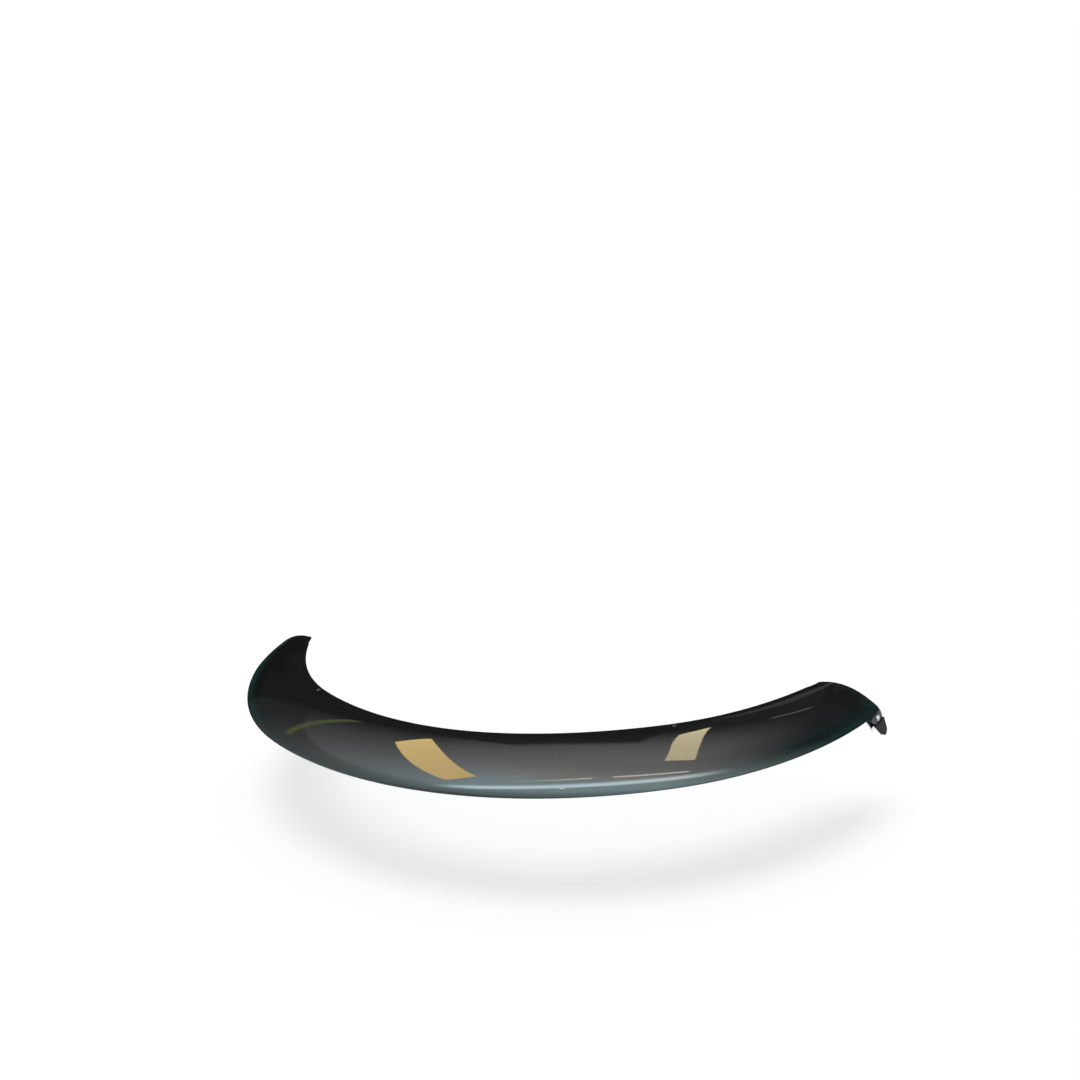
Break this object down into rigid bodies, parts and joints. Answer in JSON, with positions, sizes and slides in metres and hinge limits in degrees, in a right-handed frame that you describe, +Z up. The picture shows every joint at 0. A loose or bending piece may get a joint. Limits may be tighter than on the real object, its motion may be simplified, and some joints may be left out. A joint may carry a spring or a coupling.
{
  "type": "sunroof wind deflector",
  "caption": "Curved smoked-acrylic wind deflector for a car sunroof, with foam seals behind its lip and a screw clamp bracket under each arm end.",
  "frame": {"origin": "middle of the front seal's underside at the shield's nose, on the roof plane", "axes": "+X across the car, to the right of someone who stands in front of it and looks back; +Y to the rear of the car; +Z up"},
  "size_m": [0.9234, 0.3544, 0.0965],
  "materials": {
    "smoked_acrylic": "gloss",
    "foam_rubber": "matte",
    "brass": "satin",
    "stainless": "satin",
    "bright_steel": "polished",
    "black_steel": "satin",
    "black_rubber": "matte",
    "grey_plastic": "satin",
    "white_plastic": "satin"
  },
  "bodies": {
    "shield": {"deflector_shield": "smoked_acrylic", "front_seal": "foam_rubber", "arm_seal_left": "foam_rubber", "arm_seal_right": "foam_rubber", "boss_inserts": "brass", "fixing_screws": "stainless", "fixing_washers": "stainless", "glass_bumpers": "grey_plastic"},
    "bracket_left": {"bracket_left": "black_steel", "leg_boot_left": "black_rubber", "clinch_nut_left": "stainless"},
    "jaw_left": {"clamp_jaw_left": "bright_steel", "jaw_pad_left": "black_rubber"},
    "screw_left": {"clamp_screw_left": "stainless", "thrust_washer_left": "white_plastic", "screw_clip_left": "stainless"},
    "bracket_right": {"bracket_right": "black_steel", "leg_boot_right": "black_rubber", "clinch_nut_right": "stainless"},
    "jaw_right": {"clamp_jaw_right": "bright_steel", "jaw_pad_right": "black_rubber"},
    "screw_right": {"clamp_screw_right": "stainless", "thrust_washer_right": "white_plastic", "screw_clip_right": "stainless"}
  },
  "joints": [
    {"name": "bracket_slide_left", "type": "slide", "parent": "shield", "child": "bracket_left", "axis": [0, 1, 0], "range_m": [-0.004, 0.004]},
    {"name": "jaw_slide_left", "type": "slide", "parent": "bracket_left", "child": "jaw_left", "axis": [-1, 0, 0], "range_m": [-0.002, 0.0045]},
    {"name": "screw_turn_left", "type": "hinge", "parent": "jaw_left", "child": "screw_left", "pos_m": [-0.44563, 0.31903, -0.0105], "axis": [-1, 0, 0], "range_deg": [-905, 2030]},
    {"name": "bracket_slide_right", "type": "slide", "parent": "shield", "child": "bracket_right", "axis": [0, 1, 0], "range_m": [-0.004, 0.004]},
    {"name": "jaw_slide_right", "type": "slide", "parent": "bracket_right", "child": "jaw_right", "axis": [1, 0, 0], "range_m": [-0.002, 0.0045]},
    {"name": "screw_turn_right", "type": "hinge", "parent": "jaw_right", "child": "screw_right", "pos_m": [0.44563, 0.31903, -0.0105], "axis": [1, 0, 0], "range_deg": [-905, 2030]}
  ],
  "couplings": [
    {"joint": "screw_turn_left", "follows": "jaw_slide_left", "rad_per_m": 7854},
    {"joint": "screw_turn_right", "follows": "jaw_slide_right", "rad_per_m": 7854}
  ]
}
